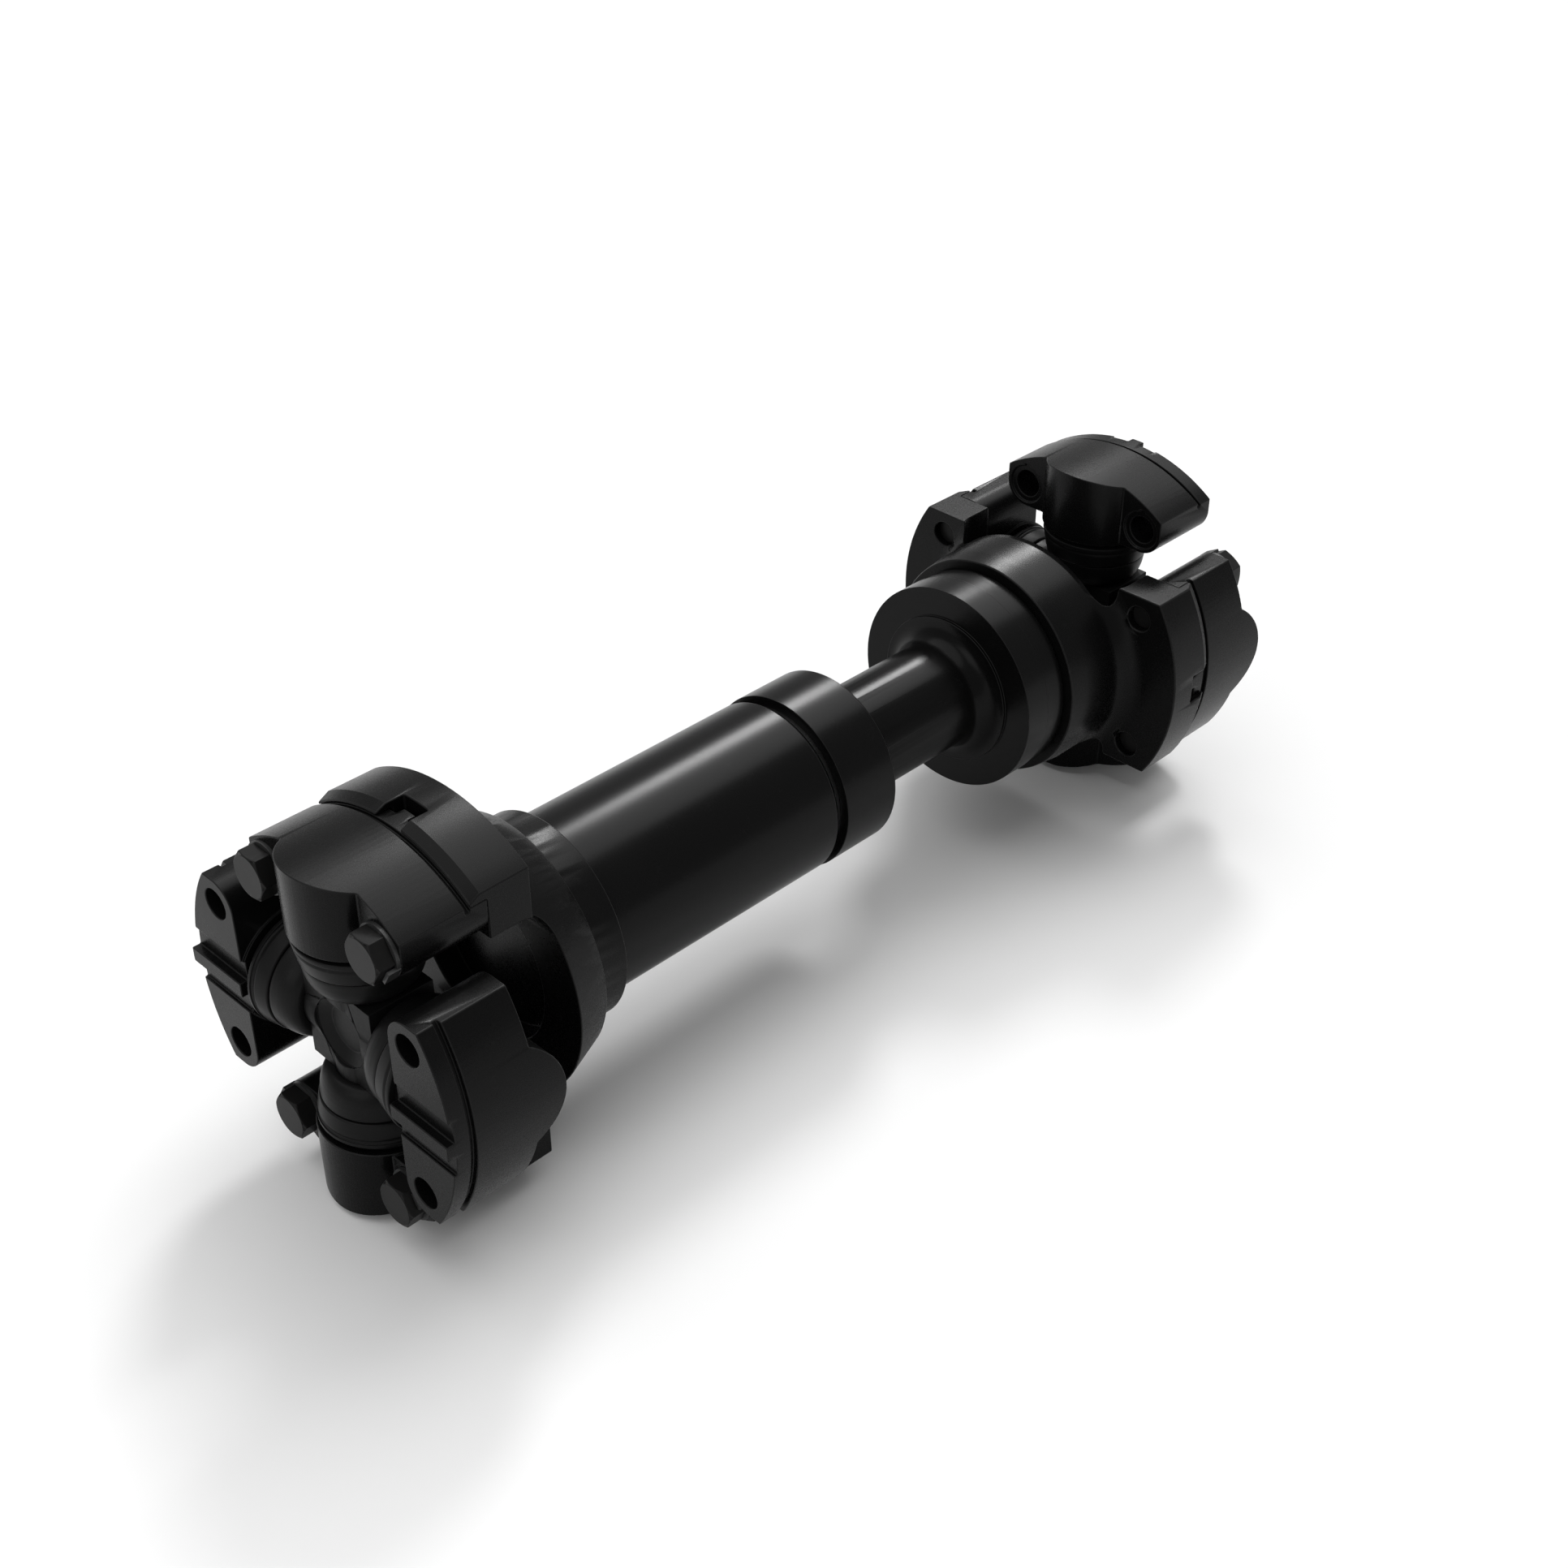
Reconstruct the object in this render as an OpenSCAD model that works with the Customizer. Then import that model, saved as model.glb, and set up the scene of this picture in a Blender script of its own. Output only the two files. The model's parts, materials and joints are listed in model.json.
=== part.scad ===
// Telescopic cardan shaft with a bolt-on wing-block universal joint at each end.
// Frame: the shaft lies along +X, +Z is up. X = 0 is the plane where the input
// blocks bolt to their companion flange, X = shaft_l is the output plane.
// Joint A is the input joint: its shaft yoke has a top and a bottom ear.
// Joint B is the output joint: its shaft yoke has a left and a right ear.

/* [Shaft] */
// Length between the input and the output mounting planes
shaft_l = 507; // [506:1:620]
// Outer radius of the tube
tube_r = 41.7; // [40:0.1:46]
// Wall of the tube
tube_wall = 4.4; // [3:0.1:5]
// Radius of the sliding stub
stub_r = 26.1; // [22:0.1:27]
// Length of the dust cap
cap_l = 32; // [26:1:40]
// Wall of the dust cap over the sleeve
cap_wall = 5; // [3:0.5:8]
// Slip travel each way from the middle
slip_half = 25; // [15:1:25]
// Length of spline that stays engaged with the shaft pulled right out
spline_grip = 32; // [20:1:34]
// Distance from the output plane to the tube's open end
tail_l = 257; // [250:1:262]
// Distance from the output plane to the shoulder disc's front
disc_off = 139.1; // [136:0.1:142]
// Radius of the shoulder disc
disc_r = 51.9; // [48:0.1:54]
// Thickness of the shoulder disc
disc_t = 14.4; // [10:0.1:16]
// Distance from the output plane to the output yoke's base
base_off = 111.1; // [108:0.1:114]

/* [Bearing block] */
// Outer radius of a block about the shaft axis
block_r = 84.2; // [80:0.1:90]
// Step in from the block's radius to the pilot band round the mounting face
pilot_step = 0.8; // [0.6:0.1:4]
// Metal between the block's outside and the floor of its bearing bore
end_wall = 8.8; // [7:0.1:10]
// Height of the pilot band
pilot_h = 8; // [6:0.5:12]
// Width of the undercut between pilot band and body
undercut_w = 2.4; // [1.5:0.1:4]
// Distance from the mounting face to the trunnion axis
cross_off = 25.8; // [24:0.1:27]
// Distance from the mounting face to the bolt seats
block_t = 40.3; // [36:0.1:42]
// Distance from the shaft axis to each bolt
bolt_y = 61.7; // [60:0.1:64]
// Distance between the two bolts of a block
bolt_span = 71.4; // [70:0.1:78]
// Distance from a bolt's axis to the wing's edge
wing_edge = 11.8; // [10:0.1:12]
// Radius of the round bearing boss
boss_r = 28; // [25.5:0.1:29]
// Distance from the joint centre to the boss's inner end
boss_in = 49; // [48:0.1:50]
// Width of the driving key
key_w = 7; // [5:0.5:10]
// How far the key stands out of the mounting face
key_h = 2.5; // [2:0.1:4]

/* [Bolts] */
// Thread diameter of the joint bolts
bolt_d = 12.7; // [10:0.1:14]
// Clearance of a bolt in its hole, on the diameter
bolt_play = 1.1; // [0.5:0.1:2]
// Width across the flats of the bolt heads
hex_af = 19; // [17:0.5:20]
// Height of the bolt heads
head_h = 7.9; // [6:0.1:9]
// Thickness of the tab washers
tab_t = 1.6; // [1:0.1:2]

/* [Cross and bearings] */
// Radius of the four journals
journal_r = 15.5; // [14:0.1:16]
// Radius of the journal's shoulder, where the seal runs
shoulder_r = 20; // [18:0.1:21]
// Half thickness of the cross's body along the shaft
cross_half = 15.3; // [14:0.1:17]
// Distance from the centre to the flats between the journals
cross_flat = 34; // [30:0.5:36]
// Diameter of a needle roller
roller_d = 4; // [3:0.5:4]
// Length of a needle roller
roller_l = 23.6; // [18:0.1:24]
// Thickness of the thrust washer behind each journal
thrust_t = 2; // [1:0.1:2.5]

/* [Yokes] */
// How far the yoke ears stand out past the blocks
yoke_lip = 2.7; // [1:0.1:5]
// Thickness of an ear behind its mounting face
ear_t = 20.5; // [19:0.1:26]
// Distance from an ear's back to the face at the bottom of the gap
base_gap = 7.6; // [6:0.1:12]
// Radius of the input yoke's base at that face
bowl_r = 62.8; // [58:0.1:67]
// Length of the conical base behind that face
cone_l = 19.9; // [15:0.1:25]
// Radius at the small end of the conical base
cone_small_r = 55.3; // [50:0.1:58]
// How far the hub ring stands out past the tube that is welded to it
hub_lip = 5.7; // [4:0.1:8]
// Length of the hub ring
hub_l = 18.2; // [12:0.1:24]
// Radius of the base cylinder of the output yoke
base_r = 57; // [54:0.1:58]
// Radius of the fillet from the output yoke's base to its ears
base_fillet = 10.5; // [5:0.5:14]

/* [Hidden] */
$fn = 96;
eps = 0.01;
over = 1;            // how far a cut runs past the face that it opens
big = 400;

// Named clearances
run_gap = 0.05;      // radial running fit
slide_gap = 0.15;    // sliding spline and stub
pilot_gap = 0.1;     // pilot band in the ear's lip
key_gap = 0.05;      // key in its keyway, each side
key_room = 0.4;      // keyway below the key
face_gap = 0.5;      // faces that turn past each other
thrust_gap = 0.2;    // journal's end to its thrust washer
roller_gap = 0.02;   // between two needle rollers
roller_end_gap = 0.6;
thread_gap = 0.02;
washer_gap = 0.3;    // washer round its bolt, and tab beside the head
shoulder_gap = 0.4;  // journal's shoulder short of the seal's outer face

// Block values
bolt_t = bolt_span / 2;
hole_r = (bolt_d + bolt_play) / 2;
wing_in = bolt_y - wing_edge;
pilot_r = block_r - pilot_step;
race_r = journal_r + roller_d + run_gap;
bore_floor = block_r - end_wall;
thrust_face = bore_floor - thrust_t;
journal_end = thrust_face - thrust_gap;
journal_bevel = 1;
can_l = 11;
can_out = boss_in - 2.6;
can_in = can_out - can_l;
can_r = boss_r - 0.9;
can_taper = 1.9;
can_band = 2;
can_lip = 1.2;
neck_r = boss_r - 4;
undercut_r = pilot_r - 1.6;
relief_w = 9.3;
relief_half = key_w / 2 + relief_w;
relief_d = 1.4;
seat_d = 1.2;
seat_r = 9.8;
seat_notch = 3.2;
washer_room = 0.4;

// Cross values
guard_l = 13;
guard_wall = 1.5;
guard_r = can_r - 2.5;
guard_out = can_in - face_gap;
guard_in = guard_out - guard_l;
shoulder_in = guard_in + 0.45 * guard_l;
shoulder_out = can_out - shoulder_gap;
root_r = shoulder_r - 3;
grease_r = 2.5;
dish_r = cross_half;
dish_d = 3.4;
dish_floor_r = dish_r - 5;

// Yoke values
yoke_r = block_r + yoke_lip;
ear_half = bolt_t + wing_edge;
ear_face = 2 * cross_off;
lip_front = ear_face - pilot_h;
lip_chamfer = 5;
lip_drop = 2.3;
ear_back = ear_face + ear_t;
base_face = ear_back + base_gap;
cone_end = base_face + cone_l;
cone_slope = (bowl_r - cone_small_r) / cone_l;
hub_r = tube_r + hub_lip;
hub_end = cone_end + hub_l;
mouth_r = 39.6;
mouth_d = 12;
window_round = 14;
base_taper = 1.4;
base_taper_l = 12;
notch_half = 7.6;
notch_d = 5.7;
notch_in = pilot_r - 8;
tap_r = bolt_d / 2 + thread_gap;

// Shaft values
weld_spigot = 12;
weld_bevel = 1;
tube_in = tube_r - tube_wall;
tube_end = shaft_l - tail_l;
tube_bevel = 2;
tube_bevel_l = 2.5;
cap_start = tube_end + 3.8;
cap_end = cap_start + cap_l;
cap_lip = 5;
cap_bevel = 1;
cap_bore_r = stub_r + face_gap;
seal_t = 5;
cap_r = tube_in + cap_wall;
sleeve_end = cap_end - cap_lip - seal_t;
teeth_in = 36;       // from the tube's open end to the end of the sleeve's teeth
teeth_end = tube_end - teeth_in;
stub_start = teeth_end - slip_half - spline_grip;
sleeve_start = stub_start - 7;
spline_end = teeth_end + slip_half + 1;
disc_x = shaft_l - disc_off;
step_r = stub_r + 11.3;
step_h = 1.5;
root_fillet = 9.5;
base_x = shaft_l - base_off;
neck_band_r = disc_r - 0.6;
groove_w = 1.8;
groove_d = 1.2;
spline_n = 16;
spline_h = 3;
spline_root_r = stub_r - spline_h;
spline_reach = stub_r + 2;

// Bolt values
shank_l = block_t + ear_t - 4;
head_crown_r = 0.48 * hex_af;
tab_r = hex_af / 2 + 2;
tab_w = 7;
tab_h = 4;
tab_turn = 60;

ink = [0.07, 0.07, 0.075];
steel = [0.16, 0.16, 0.17];
bright = [0.62, 0.62, 0.64];
rubber = [0.04, 0.04, 0.04];

// ---- Placing -------------------------------------------------------------

// Joint A's own frame is the part's frame. Joint B is the same joint seen from
// the other end and turned a quarter turn.
module joint_a() { children(); }
module joint_b() { translate([shaft_l, 0, 0]) mirror([1, 0, 0]) rotate([90, 0, 0]) children(); }

// A block is drawn with its journal along +Z and its mounting face at X = 0.
// Free blocks face the companion flange, fixed blocks face the shaft yoke.
module free_side(turn) { rotate([turn, 0, 0]) children(); }
module fixed_side(turn) { rotate([turn, 0, 0]) translate([ear_face, 0, 0]) mirror([1, 0, 0]) children(); }

// A cylinder from radius r along +X between two planes.
module bar_x(r, x0, x1) { translate([x0, 0, 0]) rotate([0, 90, 0]) cylinder(r = r, h = x1 - x0); }

// A solid of revolution about X from [x, r] points.
module turned(points) { rotate([90, 0, 90]) rotate_extrude() polygon([for (p = points) [p[1], p[0]]]); }

// Both fixed blocks' places.
module fixed_pair() { for (turn = [0, 180]) fixed_side(turn) children(); }

// Both bolt axes of a block, running along +X from the plane x.
module at_bolts(x) {
    for (side = [-1, 1])
        translate([x, side * bolt_t, bolt_y]) rotate([0, 90, 0]) children();
}

// ---- Bearing block -------------------------------------------------------

// Outline of the two wings in the plane across the shaft, round at the inner corners.
module wing_outline() {
    translate([-bolt_t, wing_in]) square([bolt_span, block_r]);
    for (side = [-1, 1]) translate([side * bolt_t, bolt_y]) circle(r = wing_edge);
    translate([-bolt_t - wing_edge, bolt_y]) square([bolt_span + 2 * wing_edge, block_r]);
}

// Everything a block's outside may fill: the pilot band, the undercut and the body.
module block_envelope() {
    shoulder = pilot_h + undercut_w;
    bar_x(pilot_r, -eps, pilot_h);
    bar_x(undercut_r, pilot_h - eps, shoulder);
    bar_x(block_r, shoulder - eps, cross_off + boss_r + over);
}

module block_body() {
    rotate([90, 0, 90]) linear_extrude(block_t) wing_outline();
    translate([cross_off, 0, boss_in]) cylinder(r = boss_r, h = block_r);
}

module block_key() {
    translate([-key_h, -key_w / 2, boss_in]) cube([key_h + relief_d, key_w, pilot_r - boss_in]);
}

module block() {
    difference() {
        union() {
            intersection() {
                block_body();
                block_envelope();
                translate([0, -big / 2, 0]) cube([big, big, big]);
            }
            translate([cross_off, 0, can_out]) cylinder(r = neck_r, h = boss_in - can_out + over);
        }
        // Reliefs beside the key
        translate([-eps, -relief_half, 0]) cube([relief_d + eps, 2 * relief_half, big]);
        // Bearing bore, closed at the outer end
        translate([cross_off, 0, 0]) cylinder(r = race_r, h = bore_floor);
        // Bolt holes and their seats
        at_bolts(-over) cylinder(r = hole_r, h = block_t + 2 * over);
        at_bolts(block_t - seat_d) cylinder(r = seat_r, h = seat_d + over);
        at_bolts(block_t - seat_d)
            translate([-seat_r - seat_notch / 3, -seat_notch / 2, 0])
                cube([seat_notch, seat_notch, seat_d + over]);
        // Room for the tab washers where they pass the boss
        at_bolts(block_t) cylinder(r = tab_r + washer_room, h = boss_r);
    }
    intersection() {
        block_key();
        bar_x(pilot_r, -key_h - over, big);
    }
}

module rollers() {
    pitch_r = race_r - roller_d / 2;
    count = floor(180 / asin((roller_d + roller_gap) / 2 / pitch_r));
    for (i = [0:count - 1])
        translate([cross_off, 0, thrust_face - roller_end_gap - roller_l])
            rotate([0, 0, i * 360 / count])
                translate([pitch_r, 0, 0]) cylinder(r = roller_d / 2, h = roller_l);
}

module thrust_washer() {
    translate([cross_off, 0, thrust_face]) cylinder(r = race_r - roller_d - run_gap, h = thrust_t);
}

// Steel-cased lip seal that closes the bearing's inner end.
module seal() {
    translate([cross_off, 0, 0])
        rotate_extrude()
            polygon([
                [shoulder_r + run_gap, can_in + can_band],
                [guard_r - can_lip, can_in + can_band],
                [guard_r - can_lip, can_in],
                [can_r - can_taper, can_in],
                [can_r, can_out - can_band],
                [can_r, can_out],
                [shoulder_r + run_gap, can_out]]);
}

// ---- Cross ---------------------------------------------------------------

// Bell-shaped guard pressed over a journal's shoulder.
module guard() {
    small = root_r + guard_wall;
    steps = 10;
    outer = [for (i = [0:steps])
        let (a = 90 * i / steps)
        [small + (guard_r - small) * sin(a), guard_in + guard_l * (1 - cos(a))]];
    translate([cross_off, 0, 0])
        difference() {
            rotate_extrude() polygon(concat([[0, guard_in]], outer, [[0, guard_out]]));
            cylinder(r = root_r, h = big);
            translate([0, 0, shoulder_in]) cylinder(r = shoulder_r, h = big);
        }
}

module cross() {
    difference() {
        union() {
            // Body with flats between the journals
            translate([cross_off, 0, 0])
                intersection() {
                    rotate([45, 0, 0])
                        cube([2 * cross_half, 2 * cross_flat, 2 * cross_flat], center = true);
                    cube([2 * cross_half, 2 * guard_in, 2 * guard_in], center = true);
                }
            for (turn = [0, 90, 180, 270]) cross_journal(turn);
        }
        // Dish in the front and in the back face
        for (side = [-1, 1])
            translate([cross_off + side * (cross_half - dish_d), 0, 0])
                rotate([0, side * 90, 0]) {
                    cylinder(r1 = dish_floor_r, r2 = dish_r, h = dish_d);
                    translate([0, 0, dish_d - eps]) cylinder(r = dish_r, h = big);
                }
        // Grease passages along both journals
        for (turn = [0, 90])
            rotate([turn, 0, 0])
                translate([cross_off, 0, -big / 2]) cylinder(r = grease_r, h = big);
    }
}

// One journal with its root, its seal shoulder and its ground end.
module cross_journal(turn) {
    rotate([turn, 0, 0])
        translate([cross_off, 0, 0])
            rotate_extrude()
                polygon([
                    [0, 0],
                    [root_r, 0],
                    [root_r, shoulder_in],
                    [shoulder_r, shoulder_in],
                    [shoulder_r, shoulder_out],
                    [journal_r, shoulder_out],
                    [journal_r, journal_end - journal_bevel],
                    [journal_r - journal_bevel, journal_end],
                    [0, journal_end]]);
}

// ---- Bolts and tab washers -----------------------------------------------

// Both bolts of one block, heads on the seat side.
module block_bolts() {
    at_bolts(block_t + tab_t) {
        intersection() {
            rotate([0, 0, 30]) cylinder(r = hex_af / sqrt(3), h = head_h, $fn = 6);
            cylinder(r1 = head_crown_r + head_h * sqrt(3), r2 = head_crown_r, h = head_h);
        }
        translate([0, 0, -shank_l - tab_t]) cylinder(r = bolt_d / 2, h = shank_l + tab_t + over);
    }
}

// Both tab washers of one block: a disc with one tab bent up beside the head.
module block_tabs() {
    for (side = [-1, 1])
        translate([block_t, side * bolt_t, bolt_y])
            rotate([0, 90, 0]) {
                difference() {
                    cylinder(r = tab_r, h = tab_t);
                    translate([0, 0, -over]) cylinder(r = bolt_d / 2 + washer_gap, h = tab_t + 2 * over);
                }
                rotate([0, 0, side * tab_turn])
                    translate([hex_af / 2 + washer_gap, -tab_w / 2, 0])
                        cube([tab_t, tab_w, tab_t + tab_h]);
            }
}

// ---- Shaft yokes ---------------------------------------------------------

// Both ears of a yoke as flat plates with a pilot lip. Ears point along +Z and -Z.
module ear_plates() {
    difference() {
        intersection() {
            for (side = [0, 180])
                rotate([side, 0, 0])
                    translate([lip_front, -ear_half, wing_in - window_round])
                        cube([ear_back - lip_front, 2 * ear_half, yoke_r]);
            turned([
                [lip_front, 0],
                [lip_front, yoke_r - lip_drop],
                [lip_front + lip_chamfer, yoke_r],
                [ear_back, yoke_r],
                [ear_back, 0]]);
        }
        // Mounting face inside the pilot lip
        bar_x(pilot_r + pilot_gap, 0, ear_face);
    }
}

// The gap between the ears, with rounded corners at its bottom.
module yoke_window() {
    rotate([90, 0, 0])
        translate([0, 0, -yoke_r - over])
            linear_extrude(2 * (yoke_r + over)) {
                translate([0, -wing_in]) square([base_face - window_round, 2 * wing_in]);
                translate([0, -wing_in + window_round])
                    square([base_face, 2 * (wing_in - window_round)]);
                for (side = [-1, 1])
                    translate([base_face - window_round, side * (wing_in - window_round)])
                        circle(r = window_round);
            }
}

// Keyways, pry notches and tapped holes of both ears.
module ear_cuts() {
    for (side = [0, 180])
        rotate([side, 0, 0]) {
            translate([ear_face - eps, -key_w / 2 - key_gap, 0])
                cube([key_h + key_room, key_w + 2 * key_gap, big]);
            translate([lip_front - over, -notch_half, notch_in])
                cube([ear_face + notch_d - lip_front + over, 2 * notch_half, big]);
            at_bolts(ear_face - over) cylinder(r = tap_r, h = big);
        }
}

// A yoke around a base of revolution, given as its outline behind the ears.
module yoke(base_points) {
    difference() {
        union() {
            ear_plates();
            turned(base_points);
        }
        yoke_window();
        bar_x(mouth_r, base_face - over, base_face + mouth_d);
        ear_cuts();
    }
}

// Input yoke: a conical base and a ring that the tube is welded to.
module yoke_a() {
    color(ink)
        yoke([
            [ear_back, 0],
            [ear_back, cone_r(ear_back)],
            [cone_end, cone_r(cone_end)],
            [cone_end + weld_bevel, hub_r],
            [hub_end, hub_r],
            [hub_end, tube_in],
            [hub_end + weld_spigot, tube_in],
            [hub_end + weld_spigot, 0]]);
}

// Radius of the input yoke's conical base at a plane x.
function cone_r(x) = bowl_r - cone_slope * (x - base_face);

// Output yoke: a round base with a fillet up to the ears, welded to the slip shaft.
module yoke_b() {
    back = shaft_l - base_x;
    fillet = [for (a = [0:15:90])
        [ear_back + base_fillet * (1 - cos(a)), base_r + base_fillet * (1 - sin(a))]];
    color(ink) joint_b()
        yoke(concat(
            [[ear_back, 0]],
            fillet,
            [[back - base_taper_l, base_r], [back, base_r - base_taper], [back, 0]]));
}

// ---- Shaft parts ---------------------------------------------------------

module tube() {
    color(ink)
        turned([
            [hub_end, tube_in],
            [hub_end, tube_r],
            [tube_end - tube_bevel_l, tube_r],
            [tube_end, tube_r - tube_bevel],
            [tube_end, tube_in]]);
}

// Section of the shaft's spline, grown by a gap all round for the sleeve's bore.
module spline_section(gap) {
    half_w = spline_reach * sin(90 / spline_n) + gap;
    circle(r = spline_root_r + gap);
    intersection() {
        circle(r = stub_r + gap);
        for (i = [0:spline_n - 1])
            rotate([0, 0, i * 360 / spline_n])
                translate([0, -half_w]) square([spline_reach, 2 * half_w]);
    }
}

module spline_sleeve() {
    color(steel)
        difference() {
            bar_x(tube_in, sleeve_start, sleeve_end);
            bar_x(stub_r + slide_gap, teeth_end, sleeve_end + over);
            translate([sleeve_start - over, 0, 0])
                rotate([0, 90, 0])
                    linear_extrude(teeth_end - sleeve_start + 2 * over) spline_section(slide_gap);
        }
}

module dust_cap() {
    color(ink)
        turned([
            [cap_start, tube_in],
            [cap_start, cap_r],
            [cap_end - cap_bevel, cap_r],
            [cap_end, cap_r - cap_bevel],
            [cap_end, cap_bore_r],
            [cap_end - cap_lip, cap_bore_r],
            [cap_end - cap_lip, tube_in]]);
}

module cap_seal() {
    color(rubber)
        turned([
            [sleeve_end, stub_r + run_gap],
            [sleeve_end, tube_in],
            [sleeve_end + seal_t, tube_in],
            [sleeve_end + seal_t, stub_r + run_gap]]);
}

module slip_shaft() {
    flare_x = disc_x - step_h - root_fillet;
    arc = [for (a = [0:10:90])
        [flare_x + root_fillet * sin(a), stub_r + root_fillet * (1 - cos(a))]];
    color(ink) {
        turned(concat(
            [[spline_end, 0], [spline_end, stub_r]],
            arc,
            [
                [disc_x - step_h, step_r],
                [disc_x, step_r],
                [disc_x, disc_r],
                [disc_x + disc_t, disc_r],
                [disc_x + disc_t, neck_band_r],
                [base_x - groove_w, neck_band_r],
                [base_x - groove_w, neck_band_r - groove_d],
                [base_x, neck_band_r - groove_d],
                [base_x, 0]]));
        translate([stub_start, 0, 0])
            rotate([0, 90, 0])
                linear_extrude(spline_end - stub_start + eps) spline_section(0);
    }
}

// ---- Drawing -------------------------------------------------------------

yoke_a();
tube();
spline_sleeve();
dust_cap();
cap_seal();
slip_shaft();
yoke_b();
color(steel) joint_a() cross();  // cross_a
color(steel) joint_b() cross();  // cross_b
color(ink) joint_a() fixed_side(0) block();  // yoke_block_a_top
color(ink) joint_a() fixed_side(180) block();  // yoke_block_a_bottom
color(ink) joint_a() free_side(-90) block();  // flange_block_a_left
color(ink) joint_a() free_side(90) block();  // flange_block_a_right
color(ink) joint_b() fixed_side(180) block();  // yoke_block_b_left
color(ink) joint_b() fixed_side(0) block();  // yoke_block_b_right
color(ink) joint_b() free_side(-90) block();  // flange_block_b_top
color(ink) joint_b() free_side(90) block();  // flange_block_b_bottom
color(bright) joint_a() fixed_side(0) rollers();  // rollers_a_top
color(bright) joint_a() fixed_side(180) rollers();  // rollers_a_bottom
color(bright) joint_a() free_side(-90) rollers();  // rollers_a_left
color(bright) joint_a() free_side(90) rollers();  // rollers_a_right
color(bright) joint_b() fixed_side(180) rollers();  // rollers_b_left
color(bright) joint_b() fixed_side(0) rollers();  // rollers_b_right
color(bright) joint_b() free_side(-90) rollers();  // rollers_b_top
color(bright) joint_b() free_side(90) rollers();  // rollers_b_bottom
color(bright) joint_a() fixed_side(0) thrust_washer();  // thrust_a_top
color(bright) joint_a() fixed_side(180) thrust_washer();  // thrust_a_bottom
color(bright) joint_a() free_side(-90) thrust_washer();  // thrust_a_left
color(bright) joint_a() free_side(90) thrust_washer();  // thrust_a_right
color(bright) joint_b() fixed_side(180) thrust_washer();  // thrust_b_left
color(bright) joint_b() fixed_side(0) thrust_washer();  // thrust_b_right
color(bright) joint_b() free_side(-90) thrust_washer();  // thrust_b_top
color(bright) joint_b() free_side(90) thrust_washer();  // thrust_b_bottom
color(steel) joint_a() fixed_side(0) seal();  // seal_a_top
color(steel) joint_a() fixed_side(180) seal();  // seal_a_bottom
color(steel) joint_a() free_side(-90) seal();  // seal_a_left
color(steel) joint_a() free_side(90) seal();  // seal_a_right
color(steel) joint_b() fixed_side(180) seal();  // seal_b_left
color(steel) joint_b() fixed_side(0) seal();  // seal_b_right
color(steel) joint_b() free_side(-90) seal();  // seal_b_top
color(steel) joint_b() free_side(90) seal();  // seal_b_bottom
color(steel) joint_a() fixed_side(0) guard();  // guard_a_top
color(steel) joint_a() fixed_side(180) guard();  // guard_a_bottom
color(steel) joint_a() free_side(-90) guard();  // guard_a_left
color(steel) joint_a() free_side(90) guard();  // guard_a_right
color(steel) joint_b() fixed_side(180) guard();  // guard_b_left
color(steel) joint_b() fixed_side(0) guard();  // guard_b_right
color(steel) joint_b() free_side(-90) guard();  // guard_b_top
color(steel) joint_b() free_side(90) guard();  // guard_b_bottom
color(ink) joint_a() fixed_pair() block_bolts();  // bolts_a
color(bright) joint_a() fixed_pair() block_tabs();  // tab_washers_a
color(ink) joint_b() fixed_pair() block_bolts();  // bolts_b
color(bright) joint_b() fixed_pair() block_tabs();  // tab_washers_b
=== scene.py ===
# %% [markdown]
# # A telescopic cardan shaft
# The object is a heavy drive shaft with a universal joint at each end. Every joint has a
# forged cross whose four journals turn in bearing blocks. Two blocks are bolted to the
# shaft's yoke, and the other two wait for the flange of the machine next to them.
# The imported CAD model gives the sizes, the places and the motion. This lesson gives the
# pieces their broken edges, their pressed and turned profiles, and their finishes.

# %% Load the fixed frame
import json
import math

import bmesh
import bpy
import numpy as np
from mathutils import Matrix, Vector


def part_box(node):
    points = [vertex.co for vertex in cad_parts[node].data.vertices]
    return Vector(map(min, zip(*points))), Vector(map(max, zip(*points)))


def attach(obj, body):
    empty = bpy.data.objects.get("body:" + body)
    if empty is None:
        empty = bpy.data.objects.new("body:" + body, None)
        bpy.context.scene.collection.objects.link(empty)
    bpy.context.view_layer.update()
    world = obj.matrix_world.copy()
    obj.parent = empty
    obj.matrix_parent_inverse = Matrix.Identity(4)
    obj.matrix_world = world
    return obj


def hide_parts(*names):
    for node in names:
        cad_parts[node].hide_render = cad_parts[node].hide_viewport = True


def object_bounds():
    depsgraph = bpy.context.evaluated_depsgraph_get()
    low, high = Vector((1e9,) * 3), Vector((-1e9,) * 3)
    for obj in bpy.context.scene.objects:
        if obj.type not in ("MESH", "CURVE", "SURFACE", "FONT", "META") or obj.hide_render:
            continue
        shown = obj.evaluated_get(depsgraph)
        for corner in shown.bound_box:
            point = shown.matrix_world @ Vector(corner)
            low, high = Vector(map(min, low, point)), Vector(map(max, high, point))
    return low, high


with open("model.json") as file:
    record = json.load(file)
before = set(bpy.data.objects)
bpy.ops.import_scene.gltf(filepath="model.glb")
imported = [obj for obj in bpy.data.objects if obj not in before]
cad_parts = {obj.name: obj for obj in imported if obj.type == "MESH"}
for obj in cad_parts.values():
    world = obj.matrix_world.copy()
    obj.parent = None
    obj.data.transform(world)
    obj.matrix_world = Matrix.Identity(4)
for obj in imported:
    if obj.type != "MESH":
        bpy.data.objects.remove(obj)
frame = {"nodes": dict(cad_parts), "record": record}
cad_box = [list(corner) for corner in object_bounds()]
scene = bpy.context.scene
nodes = frame["nodes"]
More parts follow.
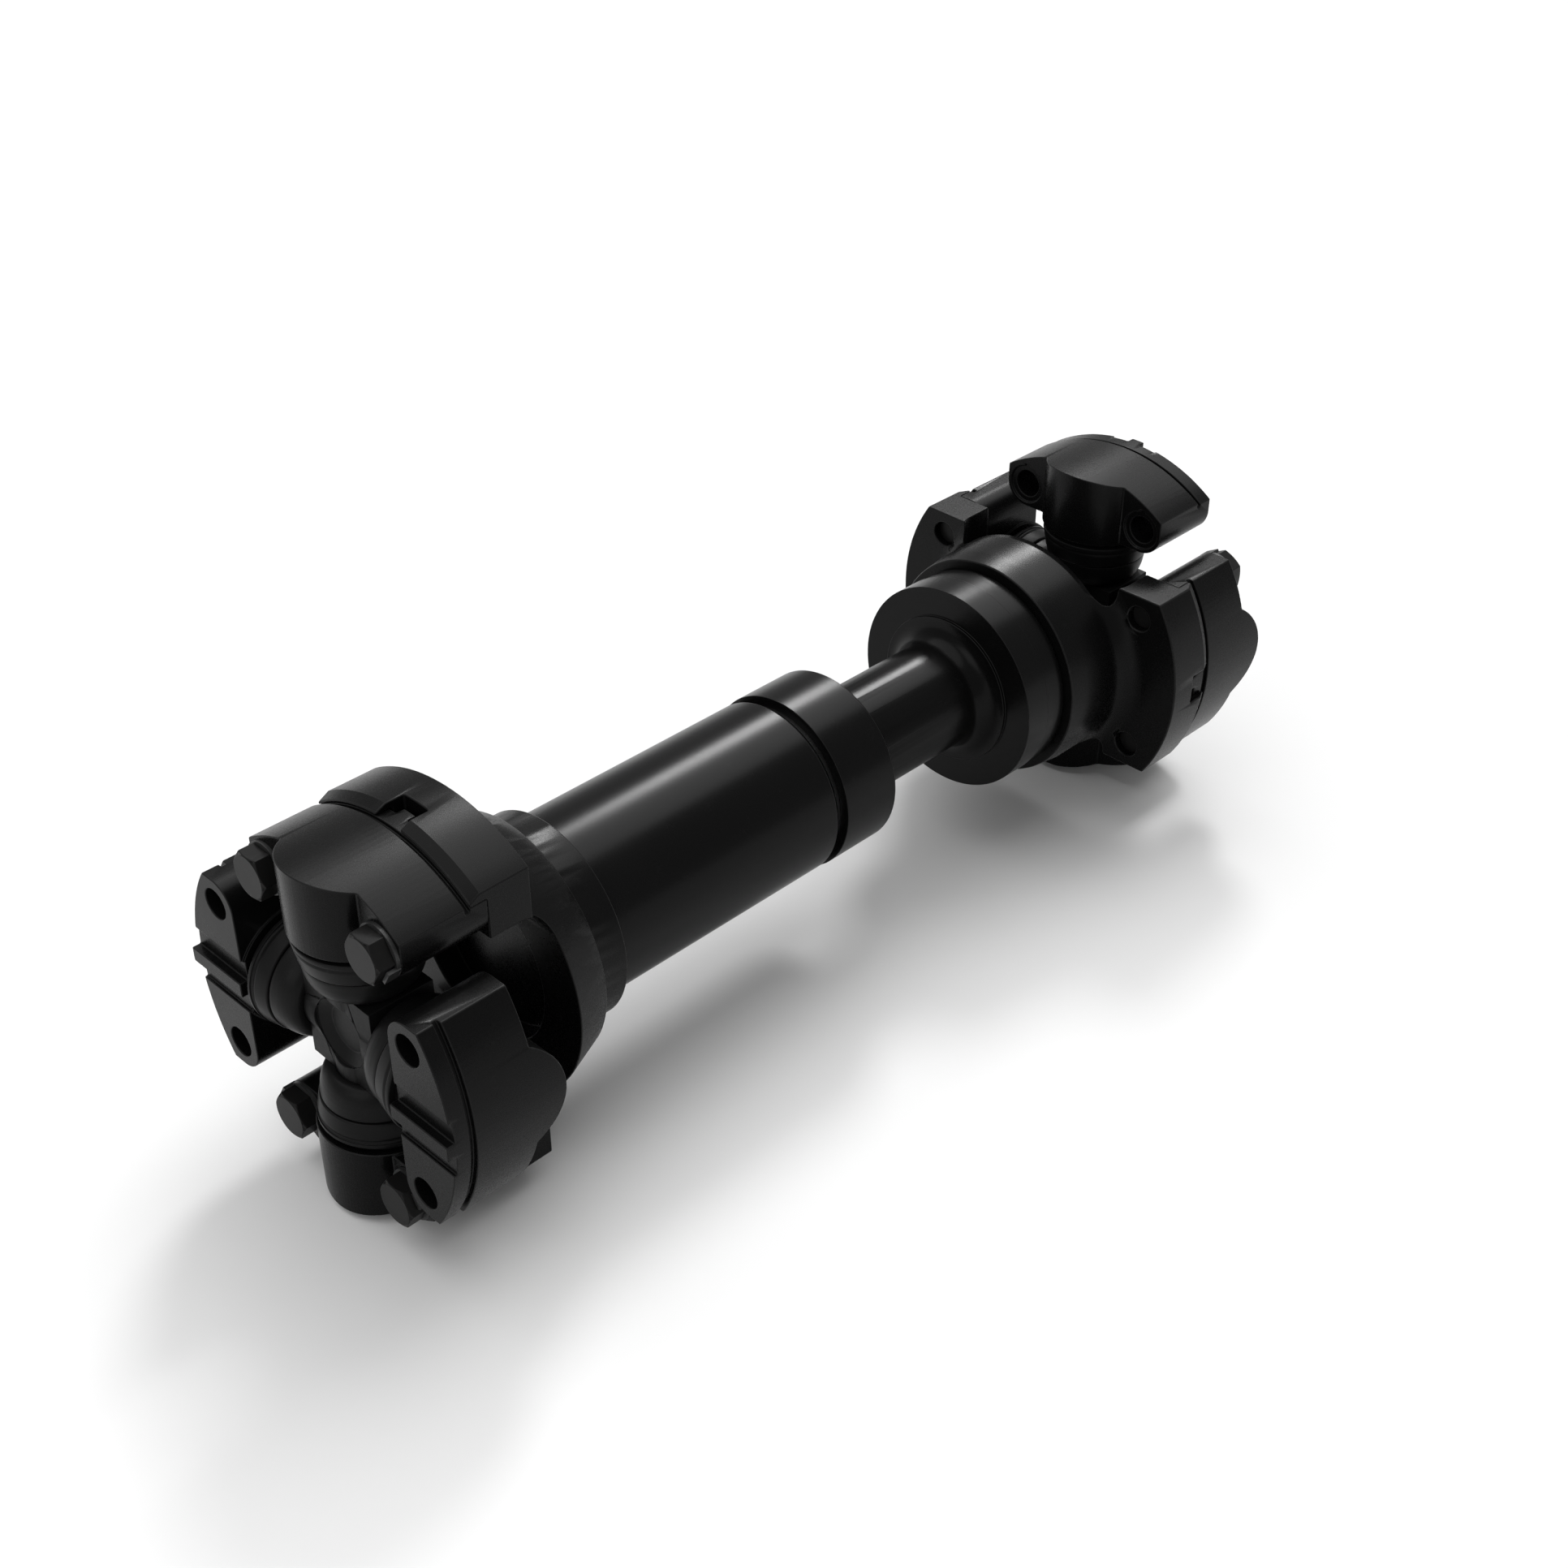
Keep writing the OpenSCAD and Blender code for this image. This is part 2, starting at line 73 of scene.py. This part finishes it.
print("nodes", len(nodes), "box", [[round(v, 4) for v in corner] for corner in cad_box])

# %% [markdown]
# ## Sizes read from the frame
# A new piece must sit exactly where its CAD node sits, so its size comes from that node's
# box where a box gives it. The joint centres are the middles of the two crosses. Each
# journal points away from its cross, and a node's name ends with that direction.

# %% Joint centres, journal directions, bodies and slots
MM = 0.001


def centre(node):
    """The middle of a node's box."""
    low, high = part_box(node)
    return (low + high) / 2


joint_centre = {"a": centre("cross_a"), "b": centre("cross_b")}
arm_direction = {
    "top": Vector((0, 0, 1)),
    "bottom": Vector((0, 0, -1)),
    "left": Vector((0, 1, 0)),
    "right": Vector((0, -1, 0)),
}
arms = [(joint, side) for joint in "ab" for side in arm_direction]
block_nodes = [node for node in nodes if "block_" in node]
bodies = frame["record"]["behaviour"]["bodies"]
body_of_node = {node: body for body, members in bodies.items() for node in members}
slot_of_node = {part["node"]: part["material_slot"] for part in frame["record"]["subparts"]}
shaft_length = cad_box[1][0] + cad_box[0][0]
print("joint centres", {k: [round(c, 4) for c in v] for k, v in joint_centre.items()})
print("length between mounting planes", round(shaft_length, 4))

# %% [markdown]
# ## The camera
# The shaft is seen from its input end, from the side of the right-hand block and from
# above. A camera could be turned by Euler angles, but aiming it at a point on the shaft's
# axis keeps the view steady if the shaft's length changes. The lens is a little longer
# than normal, as for a catalogue picture taken from about a metre away.

# %% Camera on an azimuth and an elevation
camera_azimuth = math.radians(-45.39)
camera_elevation = math.radians(34.43)
camera_distance = 0.9839
sensor_width_mm = 36
focal_length_mm = 49.73
aim = Vector((shaft_length / 2 + 0.15 * MM, -2.25 * MM, 0))


def outward(azimuth, elevation):
    """Unit vector from the aim towards a viewer: azimuth 0 stands at -Y and looks along +Y."""
    return Vector((
        math.sin(azimuth) * math.cos(elevation),
        -math.cos(azimuth) * math.cos(elevation),
        math.sin(elevation)))


camera_data = bpy.data.cameras.new("camera")
camera_data.sensor_width = sensor_width_mm
camera_data.lens = focal_length_mm
camera = bpy.data.objects.new("camera", camera_data)
scene.collection.objects.link(camera)
back = outward(camera_azimuth, camera_elevation)
camera.location = aim + back * camera_distance
camera.rotation_euler = (-back).to_track_quat("-Z", "Y").to_euler()
scene.camera = camera
print("camera at", [round(v, 3) for v in camera.location])

# %% [markdown]
# ## The studio
# A nearly black object needs a pale room: the floor and the sky light its faces evenly.
# The bright line along every cylinder is the mirror image of a lamp, so it could be
# painted on, but then it would stay behind when the object turns. Here a distant lamp
# low behind the shaft draws the line, and a broader one above it gives the line its soft
# tail. A very broad lamp overhead thins the shadow on the floor, and a small soft box
# lifts the faces at the input end, which look along -X.

# %% Floor and sky
floor_size = 120.0
floor_grey = 0.66
floor_roughness = 0.9
floor_gloss = 0.1
sky_strength = 0.45
floor_mesh = bpy.data.meshes.new("floor")
half = floor_size / 2
floor_height = cad_box[0][2]
floor_mesh.from_pydata(
    [(-half, -half, floor_height), (half, -half, floor_height),
     (half, half, floor_height), (-half, half, floor_height)], [], [(0, 1, 2, 3)])
floor = bpy.data.objects.new("floor", floor_mesh)
scene.collection.objects.link(floor)

floor_paint = bpy.data.materials.new("floor_paint")
floor_paint.use_nodes = True
floor_shader = floor_paint.node_tree.nodes["Principled BSDF"]
floor_shader.inputs["Base Color"].default_value = (floor_grey, floor_grey, floor_grey, 1)
floor_shader.inputs["Roughness"].default_value = floor_roughness
floor_shader.inputs["Specular IOR Level"].default_value = floor_gloss
floor_mesh.materials.append(floor_paint)

world = bpy.data.worlds.new("studio")
scene.world = world
world.use_nodes = True
sky = world.node_tree.nodes["Background"]
sky.inputs["Color"].default_value = (1.0, 1.0, 1.0, 1)
sky.inputs["Strength"].default_value = sky_strength
scene.view_settings.view_transform = "Standard"
print("floor", floor_size, "m wide at z =", round(floor_height, 4))


# %% Soft box and distant lamps
def soft_box(name, azimuth, elevation, distance, width, height, power):
    """An area light that looks at the aim from an azimuth and an elevation, in degrees."""
    data = bpy.data.lights.new(name, "AREA")
    data.shape = "RECTANGLE"
    data.size = width
    data.size_y = height
    data.energy = power
    light = bpy.data.objects.new(name, data)
    scene.collection.objects.link(light)
    towards = outward(math.radians(azimuth), math.radians(elevation))
    light.location = aim + towards * distance
    light.rotation_euler = (-towards).to_track_quat("-Z", "Y").to_euler()
    return light


def broad_sun(name, azimuth, elevation, spread, strength):
    """A distant lamp as wide as spread, in degrees, so that the whole floor is lit evenly."""
    data = bpy.data.lights.new(name, "SUN")
    data.energy = strength
    data.angle = math.radians(spread)
    light = bpy.data.objects.new(name, data)
    scene.collection.objects.link(light)
    towards = outward(math.radians(azimuth), math.radians(elevation))
    light.rotation_euler = (-towards).to_track_quat("-Z", "Y").to_euler()
    return light


broad_sun("key_streak", azimuth=128, elevation=42, spread=12, strength=1.4)
broad_sun("key_tail", azimuth=103, elevation=54, spread=40, strength=0.9)
broad_sun("overhead", azimuth=168, elevation=76, spread=80, strength=1.9)
soft_box("fill_input", azimuth=-84, elevation=30, distance=1.8, width=1.0, height=1.0, power=5)

# %% [markdown]
# ## Shared surface effects
# Satin paint, black oxide and turned steel all need the same few signals: a fine grain, a
# broad blotch and, on turned pieces, rings. They could be copied into each material, but
# a node group is built once, has named sockets, and takes other values in each finish.
# A group gives only numbers that vary over the surface. The shader stays outside it.

# %% A small node-group builder
def new_group(name, inputs, outputs):
    """An empty shader group with float or vector sockets, given as (name, type, value)."""
    group = bpy.data.node_groups.new(name, "ShaderNodeTree")
    for socket_name, kind, value in inputs:
        socket = group.interface.new_socket(
            name=socket_name, in_out="INPUT", socket_type="NodeSocket" + kind)
        if value is not None:
            socket.default_value = value
    for socket_name in outputs:
        group.interface.new_socket(
            name=socket_name, in_out="OUTPUT", socket_type="NodeSocketFloat")
    entry = group.nodes.new("NodeGroupInput")
    leave = group.nodes.new("NodeGroupOutput")
    return group, entry, leave


def add_noise(group, entry, scale_socket, detail, roughness):
    """A noise texture that reads the group's Vector and one of its scale sockets."""
    noise = group.nodes.new("ShaderNodeTexNoise")
    noise.inputs["Detail"].default_value = detail
    noise.inputs["Roughness"].default_value = roughness
    group.links.new(entry.outputs["Vector"], noise.inputs["Vector"])
    group.links.new(entry.outputs[scale_socket], noise.inputs["Scale"])
    return noise


# %% The grain group: fine grain, broad blotches and a sparse scuff mask
scuff_from = 0.60
scuff_full = 0.74


def build_grain():
    """Fine and Blotch are noises from 0 to 1. Scuff is a third noise cut so that only its peaks stay."""
    group, entry, leave = new_group(
        "surface_grain",
        [("Vector", "Vector", None), ("Fine Scale", "Float", 900.0),
         ("Blotch Scale", "Float", 22.0), ("Scuff Scale", "Float", 160.0)],
        ["Fine", "Blotch", "Scuff"])
    fine = add_noise(group, entry, "Fine Scale", detail=3, roughness=0.6)
    blotch = add_noise(group, entry, "Blotch Scale", detail=4, roughness=0.55)
    scuff = add_noise(group, entry, "Scuff Scale", detail=6, roughness=0.7)
    cut = group.nodes.new("ShaderNodeMapRange")
    cut.inputs["From Min"].default_value = scuff_from
    cut.inputs["From Max"].default_value = scuff_full
    group.links.new(scuff.outputs["Fac"], cut.inputs["Value"])
    group.links.new(fine.outputs["Fac"], leave.inputs["Fine"])
    group.links.new(blotch.outputs["Fac"], leave.inputs["Blotch"])
    group.links.new(cut.outputs["Result"], leave.inputs["Scuff"])
    return group


grain_group = build_grain()
print("group", grain_group.name, [s.name for s in grain_group.interface.items_tree])


# %% The turning group: fine rings left by the lathe along the shaft
ring_wander = 9.0


def build_turning():
    """Rings is a sine of the distance along X, broken by a slow noise so that it is never even."""
    group, entry, leave = new_group(
        "turning_marks",
        [("Vector", "Vector", None), ("Pitch", "Float", 1500.0), ("Wander Scale", "Float", 60.0)],
        ["Rings"])
    split = group.nodes.new("ShaderNodeSeparateXYZ")
    group.links.new(entry.outputs["Vector"], split.inputs["Vector"])
    wander = add_noise(group, entry, "Wander Scale", detail=2, roughness=0.5)
    along = group.nodes.new("ShaderNodeMath")
    along.operation = "MULTIPLY"
    group.links.new(split.outputs["X"], along.inputs[0])
    group.links.new(entry.outputs["Pitch"], along.inputs[1])
    shifted = group.nodes.new("ShaderNodeMath")
    shifted.operation = "MULTIPLY_ADD"
    shifted.inputs[1].default_value = ring_wander
    group.links.new(wander.outputs["Fac"], shifted.inputs[0])
    group.links.new(along.outputs["Value"], shifted.inputs[2])
    wave = group.nodes.new("ShaderNodeMath")
    wave.operation = "SINE"
    group.links.new(shifted.outputs["Value"], wave.inputs[0])
    group.links.new(wave.outputs["Value"], leave.inputs["Rings"])
    return group


turning_group = build_turning()
print("group", turning_group.name, [s.name for s in turning_group.interface.items_tree])

# %% [markdown]
# ## The finishes
# Nearly everything on the shaft is black: paint over forgings, black oxide on the bolts
# and phosphate on the pressed rings. What tells them apart is gloss and grain, so each
# finish sets its own colour, roughness, scuffs and bump from the same two groups. Where
# an edge is broken by a bevel, that narrow strip has a finish of its own, painted lighter
# than the faces: partly thinner, rubbed coat and partly a painted highlight along the edge.

# %% One function makes every finish
blotch_dark, blotch_light = 0.8, 1.2
grain_low, grain_high = 0.25, 0.75
fine_share = 0.5


def finish_of(name, colour, scuff_colour, roughness, spread, bump, fine_scale,
              specular=0.09, metallic=0.0, rings=0.0):
    """A Principled material: grain moves its roughness and height, scuffs and blotches its colour.

    roughness is the mean, and spread is how far the blotches and grain move it. bump is a
    height in metres. rings is the share of that height which the lathe's marks take.
    """
    material = bpy.data.materials.new(name)
    material.use_nodes = True
    tree = material.node_tree
    shader = tree.nodes["Principled BSDF"]
    shader.inputs["Specular IOR Level"].default_value = specular
    shader.inputs["Metallic"].default_value = metallic
    place = tree.nodes.new("ShaderNodeTexCoord")
    grain = tree.nodes.new("ShaderNodeGroup")
    grain.node_tree = grain_group
    grain.inputs["Fine Scale"].default_value = fine_scale
    tree.links.new(place.outputs["Object"], grain.inputs["Vector"])

    shade = tree.nodes.new("ShaderNodeMix")
    shade.data_type = "RGBA"
    shade.inputs["A"].default_value = (*[c * blotch_dark for c in colour], 1)
    shade.inputs["B"].default_value = (*[c * blotch_light for c in colour], 1)
    tree.links.new(grain.outputs["Blotch"], shade.inputs["Factor"])
    worn = tree.nodes.new("ShaderNodeMix")
    worn.data_type = "RGBA"
    worn.inputs["B"].default_value = (*scuff_colour, 1)
    tree.links.new(grain.outputs["Scuff"], worn.inputs["Factor"])
    tree.links.new(shade.outputs["Result"], worn.inputs["A"])
    tree.links.new(worn.outputs["Result"], shader.inputs["Base Color"])

    gloss = tree.nodes.new("ShaderNodeMapRange")
    gloss.inputs["From Min"].default_value = grain_low
    gloss.inputs["From Max"].default_value = grain_high
    gloss.inputs["To Min"].default_value = roughness - spread
    gloss.inputs["To Max"].default_value = roughness + spread
    blend = tree.nodes.new("ShaderNodeMath")
    blend.operation = "MULTIPLY_ADD"
    blend.inputs[1].default_value = fine_share
    half_blotch = tree.nodes.new("ShaderNodeMath")
    half_blotch.operation = "MULTIPLY"
    half_blotch.inputs[1].default_value = 1 - fine_share
    tree.links.new(grain.outputs["Blotch"], half_blotch.inputs[0])
    tree.links.new(grain.outputs["Fine"], blend.inputs[0])
    tree.links.new(half_blotch.outputs["Value"], blend.inputs[2])
    tree.links.new(blend.outputs["Value"], gloss.inputs["Value"])
    tree.links.new(gloss.outputs["Result"], shader.inputs["Roughness"])

    relief = tree.nodes.new("ShaderNodeBump")
    relief.inputs["Strength"].default_value = 1.0
    relief.inputs["Distance"].default_value = bump
    height = grain.outputs["Fine"]
    if rings:
        turning = tree.nodes.new("ShaderNodeGroup")
        turning.node_tree = turning_group
        tree.links.new(place.outputs["Object"], turning.inputs["Vector"])
        both = tree.nodes.new("ShaderNodeMath")
        both.operation = "MULTIPLY_ADD"
        both.inputs[1].default_value = rings
        tree.links.new(turning.outputs["Rings"], both.inputs[0])
        tree.links.new(height, both.inputs[2])
        height = both.outputs["Value"]
    tree.links.new(height, relief.inputs["Height"])
    tree.links.new(relief.outputs["Normal"], shader.inputs["Normal"])
    return material


# %% The finishes by slot
def grey(value, warmth=0.0):
    """A near-neutral linear colour."""
    return (value * (1 + warmth), value, value * (1 - warmth))


forged_paint = finish_of(
    "satin_black_paint", grey(0.0026), grey(0.005), roughness=0.28, spread=0.06,
    bump=0.008 * MM, fine_scale=900)
# Edge strip paint: about three times lighter than the faces, partly rubbed wear and partly a painted
# highlight along every bevelled edge.
edge_wear_and_painted_highlight = finish_of(
    "rubbed_edge_with_painted_highlight", grey(0.008), grey(0.022), roughness=0.34, spread=0.08,
    bump=0.006 * MM, fine_scale=1400)
tube_paint = finish_of(
    "smooth_black_paint", grey(0.0026), grey(0.004), roughness=0.25, spread=0.03,
    bump=0.004 * MM, fine_scale=700)
turned_paint = finish_of(
    "paint_over_turning", grey(0.0026), grey(0.005), roughness=0.25, spread=0.03,
    bump=0.004 * MM, fine_scale=900, rings=0.5)
forging_black = finish_of(
    "blackened_forging", grey(0.0050), grey(0.009), roughness=0.44, spread=0.07,
    bump=0.030 * MM, fine_scale=650)
pressed_black = finish_of(
    "phosphated_pressing", grey(0.0055), grey(0.010), roughness=0.38, spread=0.06,
    bump=0.014 * MM, fine_scale=1600)
bolt_oxide = finish_of(
    "black_oxide", grey(0.0065, 0.02), grey(0.016, 0.03), roughness=0.38, spread=0.06,
    bump=0.012 * MM, fine_scale=1800)
washer_zinc = finish_of(
    "dull_washer_steel", grey(0.045), grey(0.090), roughness=0.42, spread=0.08,
    bump=0.010 * MM, fine_scale=1800, metallic=0.6)
lip_rubber = finish_of(
    "seal_rubber", grey(0.0070), grey(0.011), roughness=0.62, spread=0.08,
    bump=0.020 * MM, fine_scale=1300, specular=0.2)
oiled_steel = finish_of(
    "oiled_steel", grey(0.20), grey(0.28), roughness=0.30, spread=0.06,
    bump=0.008 * MM, fine_scale=1500, metallic=1.0, rings=0.4)
bearing_steel = finish_of(
    "ground_bearing_steel", grey(0.52), grey(0.60), roughness=0.16, spread=0.04,
    bump=0.004 * MM, fine_scale=2200, metallic=1.0)
thrust_bronze = finish_of(
    "thrust_bronze", (0.42, 0.27, 0.10), (0.52, 0.36, 0.16), roughness=0.32, spread=0.06,
    bump=0.008 * MM, fine_scale=1500, metallic=1.0)

finish_of_slot = {
    "shaft_black": forged_paint,
    "tube_black": tube_paint,
    "stub_black": turned_paint,
    "cap_black": turned_paint,
    "block_black": forged_paint,
    "cross_black": forging_black,
    "guard_steel": pressed_black,
    "seal_case": pressed_black,
    "bolt_black": bolt_oxide,
    "washer_steel": washer_zinc,
    "machined_steel": oiled_steel,
    "bearing_steel": bearing_steel,
    "thrust_bronze": thrust_bronze,
    "rubber": lip_rubber,
}
for node, part in nodes.items():
    part.data.materials.clear()
    part.data.materials.append(finish_of_slot[slot_of_node[node]])
print("finishes", len(finish_of_slot), "nodes dressed", len(nodes))

# %% [markdown]
# ## Broken edges
# No edge of a machined forging is a perfect corner. It is chamfered on the machine or
# rubbed with a file, and that narrow strip is what catches the light. The CAD meshes
# stay untouched, so each visible node with corners gets a copy that stands for it. The
# copy is merged and its flat faces are joined, because a bevel needs whole edges. Then
# a Bevel modifier rounds every edge sharper than a limit, and gives the new strip its
# edge finish. On the painted pieces that finish is painted lighter than the faces, partly
# as rubbed paint and partly as a painted highlight along the edge.

# %% A bevelled stand-in for a CAD node
SHARP = math.radians(32)
SMOOTH = math.radians(20)
FLAT = math.radians(0.4)
SAME_POINT = 0.002 * MM


def join_flat_faces(mesh):
    """Merges doubled points, then joins triangles that lie in one plane."""
    shell = bmesh.new()
    shell.from_mesh(mesh)
    bmesh.ops.remove_doubles(shell, verts=shell.verts, dist=SAME_POINT)
    bmesh.ops.dissolve_limit(
        shell, angle_limit=FLAT, verts=shell.verts, edges=shell.edges,
        use_dissolve_boundaries=False)
    shell.to_mesh(mesh)
    shell.free()


def broken_edges(node, width, edge_finish, segments=2):
    """A copy of a CAD node whose corners are rounded by width, in metres."""
    mesh = nodes[node].data.copy()
    mesh.name = node + "_finished"
    join_flat_faces(mesh)
    mesh.materials.append(edge_finish)
    mesh.polygons.foreach_set("use_smooth", np.ones(len(mesh.polygons), bool))
    mesh.set_sharp_from_angle(angle=SMOOTH)
    piece = bpy.data.objects.new(node + "_finished", mesh)
    scene.collection.objects.link(piece)
    bevel = piece.modifiers.new("broken_edge", "BEVEL")
    bevel.width = width
    bevel.segments = segments
    bevel.limit_method = "ANGLE"
    bevel.angle_limit = SHARP
    bevel.material = 1
    bevel.use_clamp_overlap = False
    bevel.harden_normals = True
    bevel.miter_outer = "MITER_ARC"
    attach(piece, body_of_node[node])
    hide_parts(node)
    return piece


# %% Yokes, blocks, crosses and turned parts
yoke_edge = 0.7 * MM
block_edge = 0.5 * MM
small_edge = 0.3 * MM
# The bevel strips of yokes, blocks, crosses and turned parts take the lighter edge paint, which holds a
# painted highlight.
for node in ("yoke_a", "yoke_b"):
    broken_edges(node, yoke_edge, edge_wear_and_painted_highlight)
for node in block_nodes:
    broken_edges(node, block_edge, edge_wear_and_painted_highlight)
for node in ("cross_a", "cross_b", "slip_shaft", "dust_cap", "tube"):
    broken_edges(node, small_edge, edge_wear_and_painted_highlight)
for node in ("bolts_a", "bolts_b"):
    broken_edges(node, small_edge, bolt_oxide)

# %% [markdown]
# ## Pressed rings on the journals
# Between a cross and its bearings sit two pressings: a bell-shaped guard that grips the
# journal's shoulder, and a seal can that closes the bearing. A cone would do from far
# away, but a pressing has a rolled rim and a soft bend wherever the sheet turns. Each is
# therefore a closed profile, worked out as a smooth loop, and carried round its journal.

# %% A closed profile carried round a journal
ROLLED = math.radians(40)
LONGEST_BLEND = 0.45


def rounded_loop(corners, radius, steps=4):
    """Rounds a closed polygon: near each corner, points blend along a quadratic curve.

    With corner c and unit directions u, v to its neighbours, the curve is
    (1-t)^2 (c + r u) + 2 t (1-t) c + t^2 (c + r v), where r is limited by the sides.
    """
    corners = np.array(corners, float)
    before = np.roll(corners, 1, axis=0) - corners
    after = np.roll(corners, -1, axis=0) - corners
    side_before = np.linalg.norm(before, axis=1, keepdims=True)
    side_after = np.linalg.norm(after, axis=1, keepdims=True)
    reach = np.minimum(radius, LONGEST_BLEND * np.minimum(side_before, side_after))
    start = corners + before / side_before * reach
    end = corners + after / side_after * reach
    t = np.linspace(0, 1, steps + 1)[None, :, None]
    curve = ((1 - t) ** 2 * start[:, None] + 2 * t * (1 - t) * corners[:, None]
             + t ** 2 * end[:, None])
    return curve.reshape(-1, 2)


def carried_round(name, loop, centre_point, axis, turns=96):
    """A ring surface: point (i, j) is centre + s_i axis + r_i (cos a_j u + sin a_j v).

    loop holds (s, r) pairs in metres, s measured along the axis from the centre.
    """
    axis = np.array(axis, float)
    u = np.array([1.0, 0.0, 0.0])
    v = np.cross(axis, u)
    s, r = loop[:, 0], loop[:, 1]
    if np.sum(s * np.roll(r, -1) - np.roll(s, -1) * r) < 0:
        s, r = s[::-1], r[::-1]
    angle = np.linspace(0, 2 * math.pi, turns, endpoint=False)
    rim = np.cos(angle)[:, None] * u + np.sin(angle)[:, None] * v
    points = (np.array(centre_point, float) + s[:, None, None] * axis
              + r[:, None, None] * rim[None, :, :])
    rows, columns = len(s), turns
    i, j = np.meshgrid(np.arange(rows), np.arange(columns), indexing="ij")
    next_i, next_j = (i + 1) % rows, (j + 1) % columns
    quads = np.stack([i * columns + j, i * columns + next_j,
                      next_i * columns + next_j, next_i * columns + j], axis=-1)
    mesh = bpy.data.meshes.new(name)
    mesh.from_pydata(points.reshape(-1, 3), [], quads.reshape(-1, 4))
    mesh.polygons.foreach_set("use_smooth", np.ones(len(mesh.polygons), bool))
    mesh.set_sharp_from_angle(angle=ROLLED)
    piece = bpy.data.objects.new(name, mesh)
    scene.collection.objects.link(piece)
    return piece


def span_on_arm(node, joint, side):
    """(near end, far end, outer radius) of a round node, measured along its journal."""
    low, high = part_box(node)
    direction = arm_direction[side]
    ends = sorted((corner - joint_centre[joint]).dot(direction) for corner in (low, high))
    return ends[0], ends[1], (high.x - low.x) / 2


# %% Bell guards and seal cans
# No node's box gives the sheet, the root or the shoulder, so they are stated here.
sheet = 1.6 * MM
guard_root = 18.5 * MM
shoulder = 20.0 * MM
soft_bend = 0.7 * MM
rim_band = 0.8 * MM
rim_depth = 2 * MM
bell_steps = 9
shoulder_share = 0.45
can_taper = 1.9 * MM
can_mouth = 2 * MM
can_lip = 3.4 * MM
running_gap = 0.05 * MM
crimp_depth = 0.5 * MM
crimp_half = 1.2 * MM
crimp_share = 0.72


def bell_loop(near, far, rim):
    """A bell: outside, r = root + (rim - root) sin(a) while s = near + (far - near)(1 - cos(a)).

    The inside follows one sheet's thickness below, and stops on the journal's shoulder.
    """
    a = np.linspace(0, math.pi / 2, bell_steps)
    outer = np.stack([near + (far - near) * (1 - np.cos(a)),
                      guard_root + (rim - guard_root) * np.sin(a)], axis=1)
    inner = [(far, shoulder + sheet), (far - rim_depth, shoulder),
             (near + shoulder_share * (far - near), shoulder), (near, guard_root - sheet)]
    rim_bead = [(far - 2 * rim_band, rim), (far, rim)]
    return np.concatenate([outer[:-1][outer[:-1, 0] < far - 2.2 * rim_band], rim_bead, inner])


def seal_loop(near, far, rim):
    """A can that widens by a taper towards the block, with a shallow crimp behind its mouth."""
    mouth = near + can_mouth
    mid = near + crimp_share * (far - near)
    slope = can_taper / (far - near)

    def at(s):
        return rim - can_taper + (s - near) * slope

    return np.array([
        (near, shoulder + can_lip), (near, at(near)), (mid - crimp_half, at(mid)),
        (mid, at(mid) - crimp_depth), (mid + crimp_half, at(mid)), (far - can_mouth, rim),
        (far, rim), (far, shoulder + running_gap), (mouth, shoulder + running_gap),
        (mouth, shoulder + can_lip)])


def ring_piece(kind, loop_maker, joint, side):
    """Builds one pressed ring in the place of its CAD node."""
    node = f"{kind}_{joint}_{side}"
    near, far, rim = span_on_arm(node, joint, side)
    loop = rounded_loop(loop_maker(near, far, rim), soft_bend)
    piece = carried_round(node + "_pressing", loop, joint_centre[joint], arm_direction[side])
    piece.data.materials.append(pressed_black)
    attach(piece, body_of_node[node])
    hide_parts(node)
    return piece


for joint, side in arms:
    ring_piece("guard", bell_loop, joint, side)
    ring_piece("seal", seal_loop, joint, side)
